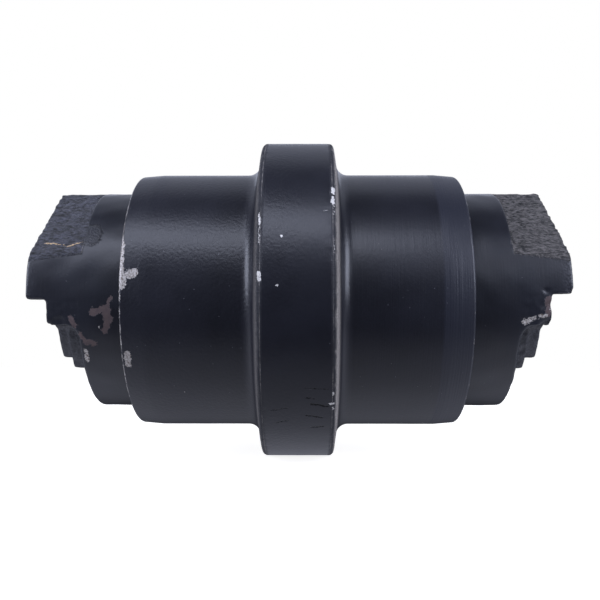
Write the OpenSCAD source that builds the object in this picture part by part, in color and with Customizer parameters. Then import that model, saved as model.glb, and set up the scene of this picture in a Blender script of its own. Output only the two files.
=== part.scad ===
// Track roller with a centre flange for a small tracked excavator.
// The shell turns on a fixed shaft; two cast collars hold the shaft and bolt to the track frame.
// Millimetres. The roller turns about the Y axis, +Z is up, and the origin is the middle of the shaft.

/* [Roller shell] */
// Diameter over the rim of the centre flange
flange_d = 152.5; // [148:0.5:158]
// Width of the flange at its rim
flange_w = 33.5; // [28:0.5:38]
// Draft of the flange's forged sides, in degrees
flange_draft = 7; // [3:1:10]
// Radius of the fillet between flange and tread
flange_fillet = 6; // [3:0.5:8]
// Diameter of the treads beside the flange
tread_d = 122.5; // [121:0.5:124]
// Diameter of the treads at the end faces
tread_end_d = 121; // [118:0.5:121]
// Length of the tapered end of each tread
tread_taper_l = 10; // [6:1:18]
// Length of the shell over its end faces
shell_l = 150.5; // [149:0.5:151]
// Radius of the shell's outer corners
shell_corner = 1.2; // [0.8:0.2:2.4]
// Diameter of the oil chamber between the bushings
oil_chamber_d = 66; // [56:1:72]

/* [Shaft and bushings] */
// Diameter of the shaft
shaft_d = 42; // [41:0.5:43]
// Length of the shaft
shaft_l = 217; // [214:0.5:217.5]
// Diameter of the oil gallery
gallery_d = 8; // [6:0.5:9]
// Outside diameter of the bushings
bushing_d = 50; // [49:0.5:51]
// Length of one bushing
bushing_l = 35; // [28:1:36]
// Thickness of the thrust washers
washer_t = 2.5; // [2:0.1:2.8]

/* [Collars] */
// Diameter of the collar discs
collar_d = 104.5; // [102:0.5:105]
// Length of the whole roller over the collars
overall_l = 237.5; // [232:0.5:241]
// Distance from the middle to the outer face of a disc
disc_end = 95.5; // [94:0.5:97]
// Distance from the middle to the end of the hub
hub_end = 109.5; // [109:0.5:111]
// Diameter of the hub around the shaft
hub_d = 77; // [74:0.5:80]
// Diameter of the ring behind the hub
ring_d = 90; // [86:0.5:94]
// Distance from the middle to the end of the ring
ring_end = 102.5; // [100:0.5:104]
// Height of the seat under the tang
tang_z = 1; // [0:0.25:4]
// Height of the shoulder under the foot
shoulder_z = -11.25; // [-14:0.25:-8]
// Radius of the fillet between shoulder and disc
shoulder_fillet = 6.5; // [4:0.5:12.5]
// Height of the flat under the hub
hub_flat_z = -27; // [-28:0.25:-26]
// Height of the flat under the ring
ring_flat_z = -31.5; // [-33:0.25:-30]
// Angle of the rough pads above the horizontal, in degrees
pad_angle = 54.5; // [52:0.5:58]
// Distance from the middle to the inner edge of the pads
pad_start = 94; // [93:0.5:95]
// Distance of a pad from the shaft's axis at its inner edge
pad_in = 46; // [45:0.25:47]
// Distance of a pad from the shaft's axis at the end
pad_out = 44; // [42.5:0.1:45]

/* [Frame bolts] */
// Tapping diameter of the bolt holes
bolt_hole_d = 10.2; // [8.5:0.1:10.5]
// Distance between the two holes of a collar
bolt_spacing = 58; // [54:0.5:60]
// Height of the holes above the shaft's axis
bolt_z = 19; // [18:0.5:20]
// Depth of the holes
bolt_depth = 22; // [16:1:22]

/* [Hidden] */
$fn = 96;

// Fits
press_gap = 0.02;         // line fit of parts that stay together
running_gap = 0.05;       // radial clearance of the bushings on the shaft
end_play = 0.15;          // axial clearance of the roller on each side
face_gap = 0.01;          // half of the oil film between the two seal faces
labyrinth_gap = 1;        // radial gap between collar disc and shell
labyrinth_depth = 4.5;    // how far the disc reaches into the shell
axial_gap = 1.5;          // gap between the disc's inner face and the shell

// Stations along the shaft, measured from the middle
shell_end = shell_l / 2;
recess_end = shell_end - labyrinth_depth;
disc_start = recess_end + axial_gap;
seal_mid = recess_end + axial_gap / 2;
seal_depth = 10.75;       // from the seal's middle plane to the floor of its housing
seat_end = seal_mid - seal_depth;
washer_start = seat_end - 3;
bushing_end = washer_start - 0.5;
neck_start = washer_start + washer_t + end_play;
collar_end = overall_l / 2;
foot_l = collar_end - disc_end;

// Radii
flange_r = flange_d / 2;
tread_r = tread_d / 2;
shaft_r = shaft_d / 2;
collar_r = collar_d / 2;
neck_r = shaft_r + 4;
washer_r = bushing_d / 2 + 5;
tang_arch_r = shaft_r + 3.5;

// Flange section
rim_round = 2.2;
side_run = (flange_r - tread_r) * tan(flange_draft);
fillet_at = flange_w / 2 + side_run + flange_fillet * tan(45 - flange_draft / 2);

// Face seals: rings with a 15 degree ramp that the toric rings sit on
ring_in_r = neck_r + 1;
ring_face_r = ring_in_r + 6.8;
ramp_in = [[4.2, ring_in_r + 3.6], [10, ring_in_r + 2]];
ramp_slope = (ramp_in[0][1] - ramp_in[1][1]) / (ramp_in[1][0] - ramp_in[0][0]);
ramp_gap = 5.9;           // radial distance from the ring's ramp to the housing's ramp
toric_at = 6.6;           // distance of the toric ring from the middle plane
toric_r = 2.8;

function ring_ramp_r(t) = ramp_in[0][1] - (t - ramp_in[0][0]) * ramp_slope;
function housing_r(t) = ring_ramp_r(t) + ramp_gap;

// Static seals and the collar pins
o_ring_at = 88;
o_ring_groove_w = 4.2;
o_ring_groove_r = shaft_r - 2.6;
o_ring_r = 1.29;
pin_d = 10;
pin_x = 19;               // the pin cuts half into the shaft and half into the collar
pin_y = (disc_end + hub_end) / 2;
pin_top = 9;
plug_head_r = 8;
plug_shank_r = 6;
plug_head_start = shaft_l / 2 - 4.5;
plug_ring_r = 0.85;       // section of the plug's O-ring
plug_ring_seat = 2;       // radial room for that ring

far = 200;                // larger than the whole roller

// Points on an arc, from angle a0 to a1
function arc(c, r, a0, a1, n = 6) =
    [for (i = [0:n]) c + r * [cos(a0 + (a1 - a0) * i / n), sin(a0 + (a1 - a0) * i / n)]];

// Turns a shape that stands on +Z so that it lies along +Y
module along_y() {
    rotate([-90, 0, 0]) children();
}

// Solid of revolution about the Y axis; points are [radius, station]
module turned(points) {
    along_y() rotate_extrude() polygon(points);
}

// Bar along +Y from station a to station b
module bar(r, a, b) {
    along_y() translate([0, 0, a]) cylinder(r = r, h = b - a);
}

// Ring of revolution with a rectangular section
module sleeve(r_in, r_out, a, b) {
    turned([[r_in, a], [r_out, a], [r_out, b], [r_in, b]]);
}

// Ring of revolution with a round section
module round_ring(section_r, centre_r, at) {
    along_y() rotate_extrude() translate([centre_r, at]) circle(r = section_r, $fn = 32);
}

// Both ends carry the same parts, turned half round about +Z
module left_end() {
    rotate([0, 0, 180]) children();
}

// Roller shell

// Outer line of one half of the shell, from the middle of the flange to the end face
function shell_outside() = concat(
    [[flange_r, 0]],
    arc([flange_r - rim_round, flange_w / 2 - rim_round], rim_round, 0, 90 - flange_draft),
    arc([tread_r + flange_fillet, fillet_at], flange_fillet, 270 - flange_draft, 180, 8),
    [[tread_r, shell_end - tread_taper_l]],
    arc([tread_end_d / 2 - shell_corner, shell_end - shell_corner], shell_corner, 0, 90)
);

// Inner line of one half, from the end face to the middle
function shell_inside() = [
    [collar_r + labyrinth_gap, shell_end],
    [collar_r + labyrinth_gap, recess_end],
    [housing_r(seal_mid - recess_end), recess_end],
    [housing_r(seal_depth), seat_end],
    [washer_r + press_gap, seat_end],
    [washer_r + press_gap, washer_start],
    [bushing_d / 2, washer_start],
    [bushing_d / 2, bushing_end - bushing_l - 2],
    [oil_chamber_d / 2, bushing_end - bushing_l - 6]
];

function half_shell() = concat(shell_outside(), shell_inside());

module roller_shell() {
    half = half_shell();
    last = len(half) - 1;
    color([0.11, 0.12, 0.14])
        turned(concat(half, [for (i = [last:-1:1]) [half[i][0], -half[i][1]]]));
}

// Bearings

module bushing() {
    color([0.72, 0.55, 0.28])
        sleeve(shaft_r + running_gap, bushing_d / 2 - press_gap, bushing_end - bushing_l, bushing_end);
}

module thrust_washer() {
    color([0.74, 0.6, 0.35])
        sleeve(shaft_r + 0.4, washer_r, washer_start, washer_start + washer_t);
}

// Face seals

// Section of one seal ring; t is the distance from the middle plane
function seal_ring_section() = [
    [face_gap, ring_in_r],
    [face_gap, ring_face_r],
    [3.2, ring_face_r],
    ramp_in[0],
    ramp_in[1],
    [ramp_in[1][0], ring_in_r]
];

// direction is 1 on the collar's side of the middle plane and -1 on the shell's side
module seal_ring(direction) {
    color([0.55, 0.56, 0.58])
        turned([for (p = seal_ring_section()) [p[1], seal_mid + direction * p[0]]]);
}

module toric_ring(direction) {
    centre_r = ring_ramp_r(toric_at) + ramp_gap / 2;
    color([0.08, 0.08, 0.08])
        round_ring(toric_r, centre_r, seal_mid + direction * toric_at);
}

// Shaft

module shaft() {
    end = shaft_l / 2;
    color([0.5, 0.51, 0.53])
    difference() {
        turned([
            [0, -end], [shaft_r - 1.2, -end], [shaft_r, -end + 1.2],
            [shaft_r, end - 1.2], [shaft_r - 1.2, end], [0, end]
        ]);
        for (side = [-1, 1])
            sleeve(o_ring_groove_r, shaft_r + 1,
                   side * o_ring_at - o_ring_groove_w / 2, side * o_ring_at + o_ring_groove_w / 2);
        pin_hole();
        left_end() pin_hole();
        // oil gallery, cross hole and the plug's seat at the right end
        bar(gallery_d / 2, 0, end + 1);
        cylinder(d = gallery_d, h = far, center = true);
        bar(plug_shank_r, end - 18, end + 1);
        bar(plug_shank_r + plug_ring_seat, plug_head_start - 1.8, end + 1);
        bar(plug_head_r + 0.4, plug_head_start, end + 1);
        // lathe centre at the left end
        along_y() translate([0, 0, -end]) cylinder(r1 = 5, r2 = 0, h = 8);
    }
}

// Collars

module pin_hole() {
    translate([pin_x, pin_y, hub_flat_z - 5])
        cylinder(r = pin_d / 2, h = pin_top - hub_flat_z + 5);
}

module bolt_holes() {
    for (side = [-1, 1])
        translate([side * bolt_spacing / 2, 0, bolt_z])
            bar(bolt_hole_d / 2, collar_end - bolt_depth, collar_end + 1);
}

// Room cut away beyond the sloping pad on the +X side of the foot
module pad_cut() {
    intersection() {
        rotate([0, 90 - pad_angle, 0])
            translate([-far / 2, pad_start, pad_in])
                rotate([-atan((pad_in - pad_out) / (collar_end - pad_start)), 0, 0])
                    translate([0, -30, 0]) cube([far, 80, 40]);
        translate([-far / 2, pad_start, -far / 2]) cube([far, foot_l + 3, far]);
    }
}

// Room cut away under the foot, round the hub, the ring and the shoulder's fillet
module lower_cut() {
    difference() {
        translate([-far / 2, disc_end, -far]) cube([far, foot_l + 1, far + shoulder_z]);
        intersection() {
            bar(ring_d / 2, disc_end - 1, ring_end);
            translate([-far / 2, 0, ring_flat_z]) cube([far, far, far]);
        }
        intersection() {
            bar(hub_d / 2, disc_end - 1, hub_end);
            translate([-far / 2, 0, hub_flat_z]) cube([far, far, far]);
        }
        rotate([90, 0, 90]) translate([0, 0, -far / 2]) linear_extrude(far)
            difference() {
                translate([disc_end - 1, shoulder_z - shoulder_fillet])
                    square([shoulder_fillet + 1, shoulder_fillet + 1]);
                translate([disc_end + shoulder_fillet, shoulder_z - shoulder_fillet])
                    circle(r = shoulder_fillet);
            }
    }
}

module collar() {
    color([0.1, 0.11, 0.13])
    difference() {
        turned([
            [shaft_r + press_gap, neck_start],
            [neck_r, neck_start],
            [neck_r, seal_mid + seal_depth],
            [housing_r(seal_depth), seal_mid + seal_depth],
            [housing_r(disc_start - seal_mid), disc_start],
            [collar_r, disc_start],
            [collar_r, collar_end],
            [shaft_r + press_gap, collar_end]
        ]);
        // below the tang, and the arch round the shaft's end
        translate([-far / 2, hub_end, -far + tang_z]) cube([far, far, far]);
        bar(tang_arch_r, hub_end, collar_end + 1);
        lower_cut();
        pad_cut();
        mirror([1, 0, 0]) pad_cut();
        bolt_holes();
        pin_hole();
    }
}

module fixed_shaft_o_ring() {
    color([0.06, 0.06, 0.06]) round_ring(o_ring_r, o_ring_groove_r + o_ring_r + press_gap, o_ring_at);
}

// Straight pin that locks the collar to the shaft, driven in from the hub's flat
module collar_pin() {
    color([0.6, 0.6, 0.62])
    translate([pin_x, pin_y, hub_flat_z + 0.6])
        intersection() {
            cylinder(r = pin_d / 2 - press_gap, h = pin_top - hub_flat_z - 1);
            translate([0, 0, -pin_d + 4])
                cylinder(r1 = 0, r2 = far / 2, h = far / 2);
        }
}

// Oil plug

module oil_plug() {
    color([0.58, 0.56, 0.5])
    difference() {
        union() {
            bar(plug_head_r, plug_head_start + press_gap, shaft_l / 2 - 0.6);
            bar(plug_shank_r - press_gap, shaft_l / 2 - 15, plug_head_start + 1);
        }
        along_y() translate([0, 0, shaft_l / 2 - 6]) cylinder(r = 3.46, h = 10, $fn = 6);
    }
}

module oil_plug_o_ring() {
    color([0.06, 0.06, 0.06])
        round_ring(plug_ring_r, plug_shank_r + plug_ring_r + 0.03, plug_head_start - plug_ring_r - 0.03);
}

roller_shell();
left_end() bushing();  // left_bushing
bushing();  // right_bushing
left_end() thrust_washer();  // left_thrust_washer
thrust_washer();  // right_thrust_washer
left_end() seal_ring(-1);  // left_rotating_seal_ring
seal_ring(-1);  // right_rotating_seal_ring
left_end() toric_ring(-1);  // left_rotating_toric_ring
toric_ring(-1);  // right_rotating_toric_ring
shaft();
left_end() collar();  // left_collar
collar();  // right_collar
left_end() seal_ring(1);  // left_fixed_seal_ring
seal_ring(1);  // right_fixed_seal_ring
left_end() toric_ring(1);  // left_fixed_toric_ring
toric_ring(1);  // right_fixed_toric_ring
left_end() fixed_shaft_o_ring();  // left_shaft_o_ring
fixed_shaft_o_ring();  // right_shaft_o_ring
left_end() collar_pin();  // left_collar_pin
collar_pin();  // right_collar_pin
oil_plug();
oil_plug_o_ring();
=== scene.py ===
import math

import bpy
import numpy as np
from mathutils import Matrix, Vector


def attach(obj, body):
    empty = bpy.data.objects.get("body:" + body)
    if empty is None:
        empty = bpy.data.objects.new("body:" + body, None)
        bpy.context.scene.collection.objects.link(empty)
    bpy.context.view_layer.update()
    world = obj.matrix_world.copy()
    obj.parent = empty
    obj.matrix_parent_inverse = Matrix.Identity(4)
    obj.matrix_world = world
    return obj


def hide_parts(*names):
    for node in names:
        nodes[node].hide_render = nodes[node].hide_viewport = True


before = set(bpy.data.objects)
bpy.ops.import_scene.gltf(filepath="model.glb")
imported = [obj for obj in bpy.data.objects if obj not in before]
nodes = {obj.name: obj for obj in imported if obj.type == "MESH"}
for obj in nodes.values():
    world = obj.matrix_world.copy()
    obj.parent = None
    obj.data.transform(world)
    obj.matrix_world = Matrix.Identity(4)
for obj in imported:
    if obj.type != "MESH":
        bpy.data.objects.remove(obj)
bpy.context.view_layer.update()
scene = bpy.context.scene
mm = 0.001
print("frame loaded,", len(nodes), "nodes")


# camera: level with the shaft's axis, almost square on to the roller, about 0.4 m away
cameraView = {"distance": 0.375, "lens": 45.0, "turn": 0.6, "across": 0.00065, "above": -0.0002}

cameraData = bpy.data.cameras.new("camera")
cameraData.sensor_width = 36.0
cameraData.lens = cameraView["lens"]
cameraData.clip_start = 0.01
camera = bpy.data.objects.new("camera", cameraData)
turn = math.radians(cameraView["turn"])
camera.location = (cameraView["distance"] * math.cos(turn),
                   cameraView["distance"] * math.sin(turn) + cameraView["across"], cameraView["above"])
camera.rotation_euler = (math.radians(90), 0.0, math.radians(90) + turn)
scene.collection.objects.link(camera)
scene.camera = camera
scene.view_settings.view_transform = "Standard"


# helpers

def srgb(code):
    # hex colour to linear: c / 12.92 below 0.04045, ((c + 0.055) / 1.055) ^ 2.4 above
    parts = [int(code[i:i + 2], 16) / 255.0 for i in (1, 3, 5)]
    return tuple(c / 12.92 if c <= 0.04045 else ((c + 0.055) / 1.055) ** 2.4 for c in parts) + (1.0,)


def addNode(tree, kind, inputs=(), out=0, **settings):
    # adds one shader node and gives back its output: settings are its own properties, and inputs,
    # in order or by name, are constants or other nodes' outputs
    made = tree.nodes.new("ShaderNode" + kind)
    for name, value in settings.items():
        setattr(made, name, value)
    for key, value in inputs.items() if isinstance(inputs, dict) else enumerate(inputs):
        if isinstance(value, bpy.types.NodeSocket):
            tree.links.new(value, made.inputs[key])
        else:
            made.inputs[key].default_value = value
    return made.outputs[out] if made.outputs else made


def newMaterial(name):
    material = bpy.data.materials.new(name)
    material.use_nodes = True
    material.node_tree.nodes.clear()
    return material, material.node_tree


def paint(obj, material):
    obj.data.materials.clear()
    obj.data.materials.append(material)


def meshFromGrid(name, points, closedU=True):
    # points has shape (nu, nv, 3) in metres; each cell of the grid becomes one quad, and the grid
    # closes on itself along v, and along u too unless told otherwise
    nu, nv = points.shape[:2]
    iu = np.arange(nu if closedU else nu - 1)
    a, b = np.meshgrid(iu, np.arange(nv), indexing="ij")
    a2, b2 = (a + 1) % nu, (b + 1) % nv
    quads = np.stack([a * nv + b, a2 * nv + b, a2 * nv + b2, a * nv + b2], -1).reshape(-1, 4)
    mesh = bpy.data.meshes.new(name)
    mesh.vertices.add(nu * nv)
    mesh.vertices.foreach_set("co", points.reshape(-1).astype(np.float32))
    mesh.loops.add(quads.size)
    mesh.loops.foreach_set("vertex_index", quads.reshape(-1).astype(np.int32))
    mesh.polygons.add(len(quads))
    mesh.polygons.foreach_set("loop_start", np.arange(0, quads.size, 4, dtype=np.int32))
    mesh.polygons.foreach_set("use_smooth", np.ones(len(quads), dtype=bool))
    mesh.update(calc_edges=True)
    mesh.validate()
    obj = bpy.data.objects.new(name, mesh)
    scene.collection.objects.link(obj)
    return obj


def unevenness(p, size, seed, waves=28):
    # sum of sine waves of about one length in random directions, scaled to a spread of about 1
    rng = np.random.default_rng(seed)
    d = rng.normal(size=(waves, 3))
    d /= np.linalg.norm(d, axis=1, keepdims=True)
    d *= (2 * math.pi / size) * rng.uniform(0.7, 1.5, size=(waves, 1))
    phase = rng.uniform(0, 2 * math.pi, size=waves)
    return np.sin(p.reshape(-1, 3) @ d.T + phase).sum(1).reshape(p.shape[:-1]) * math.sqrt(2.0 / waves)


def castGrain(p, size, seed):
    # gradient noise: a random slope at each corner of a cubic lattice of the given size in mm, the
    # eight slopes round a point blended with 6 t^5 - 15 t^4 + 10 t^3; the result has a spread of about 1
    rng = np.random.default_rng(seed)
    slopes = rng.normal(size=(256, 3))
    slopes /= np.linalg.norm(slopes, axis=1, keepdims=True)
    order = rng.permutation(256)
    q = p / size
    cell = np.floor(q).astype(int)
    f = q - cell
    w = f ** 3 * (f * (f * 6 - 15) + 10)
    total = 0
    for corner in np.ndindex(2, 2, 2):
        c = cell + corner
        pick = order[(order[(order[c[..., 0] & 255] + c[..., 1]) & 255] + c[..., 2]) & 255]
        share = np.prod(np.where(corner, w, 1 - w), axis=-1)
        total = total + share * (slopes[pick] * (f - corner)).sum(-1)
    return total * 3.2


def step(x, low, high):
    # smooth step from 0 at low to 1 at high
    t = np.clip((x - low) / (high - low), 0, 1)
    return t * t * (3 - 2 * t)


# roller shell

shellSizes = {
    "rim": 76.25, "rimHalf": 16.75, "rimRound": 2.2, "draft": 7.0, "fillet": 6.0,
    "tread": 61.25, "treadEnd": 60.5, "taper": 10.0, "half": 75.25, "corner": 1.2,
    "recessR": 53.25, "recessEnd": 70.75, "rampOuterR": 36.45, "rampInnerR": 33.69, "rampEnd": 60.75,
    "washerR": 30.02, "washerEnd": 57.75, "boreR": 25.0, "boreEnd": 20.25, "chamberR": 33.0,
    "chamberHalf": 16.25, "turns": 540,
}
# the forging's unevenness: depth in mm, length in mm and seed of each kind. The fine knocks' depth is
# a share of the knocks' own
shellSkin = {"waves": (0.012, 26.0, 1), "flangeWaves": (0.008, 9.0, 2), "knocks": (0.16, 4.5, 3),
             "fineKnocks": (0.6, 2.2, 4)}
# where they set in, as radii and stations in mm: none at the first number and full at the second
shellSkinZones = {"outsideR": (54.0, 57.0), "flange": (26.0, 20.0), "rimR": (73.0, 75.5),
                  "rimEdge": (13.3, 15.4)}


def arcPoints(cr, ca, radius, start, stop, n):
    # n + 1 points round (cr, ca), from angle start to stop in degrees; first radius, then station
    t = np.radians(np.linspace(start, stop, n + 1))
    return np.stack([cr + radius * np.cos(t), ca + radius * np.sin(t)], 1)


def straight(p, q, n):
    # n points from p up to, but not including, q
    t = np.arange(n)[:, None] / n
    return np.asarray(p) * (1 - t) + np.asarray(q) * t


def shellProfile():
    s = shellSizes
    run = (s["rim"] - s["tread"]) * math.tan(math.radians(s["draft"]))
    filletAt = s["rimHalf"] + run + s["fillet"] * math.tan(math.radians(45 - s["draft"] / 2))
    rimArc = arcPoints(s["rim"] - s["rimRound"], s["rimHalf"] - s["rimRound"], s["rimRound"],
                       0, 90 - s["draft"], 7)
    fillet = arcPoints(s["tread"] + s["fillet"], filletAt, s["fillet"], 270 - s["draft"], 180, 12)
    cornerArc = arcPoints(s["treadEnd"] - s["corner"], s["half"] - s["corner"], s["corner"], 0, 90, 7)
    outer = np.vstack([
        straight((s["rim"], 0), rimArc[0], 9), rimArc[:-1],
        straight(rimArc[-1], fillet[0], 6), fillet[:-1],
        straight(fillet[-1], (s["tread"], s["half"] - s["taper"]), 24),
        straight((s["tread"], s["half"] - s["taper"]), cornerArc[0], 7), cornerArc,
    ])
    # seal recess, ramp, washer seat, bushing bore and oil chamber
    inner = np.array([
        (s["recessR"], s["half"]), (s["recessR"], s["recessEnd"]), (s["rampOuterR"], s["recessEnd"]),
        (s["rampInnerR"], s["rampEnd"]), (s["washerR"], s["rampEnd"]), (s["washerR"], s["washerEnd"]),
        (s["boreR"], s["washerEnd"]), (s["boreR"], s["boreEnd"]), (s["chamberR"], s["chamberHalf"])])
    half = np.vstack([outer, inner])
    mirrored = half[1:][::-1] * np.array([1, -1])
    return np.vstack([half, mirrored])


def makeShell():
    # each profile point (radius, station) goes round the Y axis: x = r cos t, y = station, z = r sin t
    profile = shellProfile()
    turn = np.linspace(0, 2 * math.pi, shellSizes["turns"], endpoint=False)
    r = np.repeat(profile[:, :1], len(turn), 1)
    y = np.repeat(profile[:, 1:], len(turn), 1)
    t = np.repeat(turn[None, :], len(profile), 0)
    p = np.stack([r * np.cos(t), y, r * np.sin(t)], -1)
    zones = shellSkinZones
    outside = step(r, *zones["outsideR"])
    flange = step(np.abs(y), *zones["flange"])
    # forging unevenness: very shallow waves everywhere outside, and knocks on the flange's corners
    depth, length, seed = shellSkin["waves"]
    dent = depth * (1 + unevenness(p, length, seed))
    depth, length, seed = shellSkin["flangeWaves"]
    dent += flange * depth * (1 + unevenness(p, length, seed))
    fineShare, length, seed = shellSkin["fineKnocks"]
    fine = fineShare * castGrain(p, length, seed)
    depth, length, seed = shellSkin["knocks"]
    corner = step(r, *zones["rimR"]) * step(np.abs(y), *zones["rimEdge"])
    dent += corner * depth * np.clip(0.3 + castGrain(p, length, seed) + fine, 0, 3)
    r2 = r - outside * np.clip(dent, 0, 1.2)
    p = np.stack([r2 * np.cos(t), y, r2 * np.sin(t)], -1)
    return meshFromGrid("rollerShell", p * mm)


shell = makeShell()
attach(shell, "roller")
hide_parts("roller_shell")
print("shell", len(shell.data.polygons))


# end collars

collarSizes = {
    "discR": 52.25, "discStart": 72.25, "end": 118.75,
    "hubR": 38.5, "hubFlat": -27.0, "ringR": 45.0, "ringEnd": 102.5, "ringFlat": -31.5,
    "shoulder": -11.25, "shoulderBlend": 7.5, "archR": 24.5,
    "padStart": 94.0, "padIn": 46.0, "padOut": 44.0, "padAngle": 54.5,
    "boreR": 21.02, "neckR": 25.0, "neckStart": 60.4, "neckEnd": 92.0,
    "housingR": 36.66, "housingFall": 0.27586, "housingEnd": 82.25,
    "boltX": 29.0, "boltZ": 19.0, "boltR": 5.1, "boltFloor": 96.75,
    "pinX": 19.0, "pinY": 102.5, "pinR": 5.0, "pinTop": 9.0,
    "castEdge": 1.1, "voxel": 0.68,
}
# width over which each of the casting's corners is rounded, mm
collarRounds = {"tang": 1.6, "ring": 2.6, "hub": 3.4, "archEnd": 1.0, "arch": 1.2, "padStart": 0.8,
                "pad": 0.7, "discRim": 0.9, "discBack": 0.8, "bore": 0.5}
collarEnds = {
    "left": {"sign": -1, "tang": -0.1, "discEnd": 95.0, "hubEnd": 108.9, "end": 117.7,
             "grain": 0.16, "ragged": 0.35, "seed": 20},
    "right": {"sign": 1, "tang": 2.4, "discEnd": 97.0, "hubEnd": 109.5, "end": 118.75,
              "grain": 0.30, "ragged": 0.7, "seed": 40},
}


# the casting's skin, mm: lumps' sizes on the pads, undersides and ragged edges, the waves' length,
# the depth of undersides and waves, and the furthest a point may sink or stand out
collarSkin = {"padLump": 3.4, "padFine": 1.7, "underLump": 2.6, "edgeLump": 4.5, "wave": 14.0,
              "depth": 0.05, "sink": -1.6, "rise": 0.5}


def roundMax(a, b, k):
    # the larger of two distances, with the corner between them eased over a width k
    h = np.maximum(k - np.abs(a - b), 0) / k
    return np.maximum(a, b) + h * h * k / 4


def roundMin(a, b, k):
    return -roundMax(-a, -b, k)


def padGap(x, a, z):
    # distance below the sloping pad's plane: positive inside the casting
    s = collarSizes
    angle = math.radians(s["padAngle"])
    reach = s["padIn"] + (a - s["padStart"]) * (s["padOut"] - s["padIn"]) / (s["end"] - s["padStart"])
    return reach - np.sqrt(x * x + 0.8) * math.cos(angle) - z * math.sin(angle)


def collarField(p, look):
    # signed distance to the casting, negative inside. Each feature is a cylinder or a plane; the
    # end is the union of disc, shoulder, tang, ring and hub, and pads, arch and holes are cut from it
    s, rounds = collarSizes, collarRounds
    k = s["castEdge"]
    tang, discEnd, hubEnd, end = look["tang"], look["discEnd"], look["hubEnd"], look["end"]
    x, a, z = p[:, 0], p[:, 1], p[:, 2]
    r = np.hypot(x, z)
    body = roundMin(a - discEnd, roundMax(a - hubEnd, s["shoulder"] - z, k), s["shoulderBlend"])
    body = roundMin(body, roundMax(a - end, tang - z, k), rounds["tang"])
    ring = roundMax(roundMax(r - s["ringR"], a - s["ringEnd"], k), s["ringFlat"] - z, k)
    hub = roundMax(roundMax(r - s["hubR"], a - hubEnd, k), s["hubFlat"] - z, k)
    body = roundMin(roundMin(body, ring, rounds["ring"]), hub, rounds["hub"])
    arch = roundMax(r - s["archR"], hubEnd - a, rounds["archEnd"])
    body = roundMax(body, -arch, rounds["arch"])
    pad = roundMax(s["padStart"] - a, padGap(x, a, z), rounds["padStart"])
    body = roundMax(body, -pad, rounds["pad"])
    body = roundMax(body, r - s["discR"], rounds["discRim"])
    body = roundMax(body, s["discStart"] - a, rounds["discBack"])
    housing = s["housingR"] - (a - s["discStart"]) * s["housingFall"]
    body = np.maximum(body, -np.maximum(r - housing, a - s["housingEnd"]))
    neck = np.maximum(np.maximum(r - s["neckR"], s["neckStart"] - a), a - s["neckEnd"])
    body = roundMax(np.minimum(body, neck), s["boreR"] - r, rounds["bore"])
    bolt = np.hypot(np.abs(x) - s["boltX"], z - s["boltZ"]) - s["boltR"] - np.clip(a - end + 1, 0, 2)
    body = np.maximum(body, -np.maximum(bolt, s["boltFloor"] - a))
    pin = np.maximum(np.hypot(x - s["pinX"], a - s["pinY"]) - s["pinR"], z - s["pinTop"])
    return np.maximum(body, -pin)


def fieldSlope(p, look, width=0.03):
    # central differences along x, y and z
    parts = []
    for axis in range(3):
        offset = np.zeros(3)
        offset[axis] = width
        parts.append((collarField(p + offset, look) - collarField(p - offset, look)) / (2 * width))
    return np.stack(parts, 1)


def castSurface(p, look):
    # how far each point stands out, in mm: grain on the pads, ragged lower edges, slight waves elsewhere
    s, skin, seed = collarSizes, collarSkin, look["seed"]
    x, a, z = p[:, 0], p[:, 1], p[:, 2]
    r = np.hypot(x, z)
    onPad = step(np.abs(padGap(x, a, z)), 1.2, 0.5) * step(a, s["padStart"] - 0.5, s["padStart"] + 1.0)
    along = p * np.array([1.0, 0.55, 1.0])
    grain = castGrain(along, skin["padLump"], seed)
    grain = grain + 0.8 * castGrain(along, skin["padFine"], seed + 1)
    below = step(z, look["tang"] + 1.5, look["tang"] - 1.0) * step(a, look["discEnd"] - 1.0,
                                                                   look["discEnd"] + 0.8)
    broad = unevenness(p, skin["wave"], seed + 2)
    edge = step(z, look["tang"] + 3.0, look["tang"] + 0.5) * step(a, 103.0, 108.0) * step(r, 40.0, 48.0)
    edge += step(z, -5.0, -9.5) * step(a, 95.0, 99.0) * step(r, 40.0, 48.0)
    out = onPad * (look["grain"] * grain - 0.12)
    out += below * (skin["depth"] * castGrain(p, skin["underLump"], seed + 3) - 0.04)
    out += skin["depth"] * (broad - 1.0) * step(r, 47.0, 51.0)
    out -= look["ragged"] * edge * np.clip(castGrain(p, skin["edgeLump"], seed + 4), 0, 2)
    return np.clip(out, skin["sink"], skin["rise"])


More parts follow.
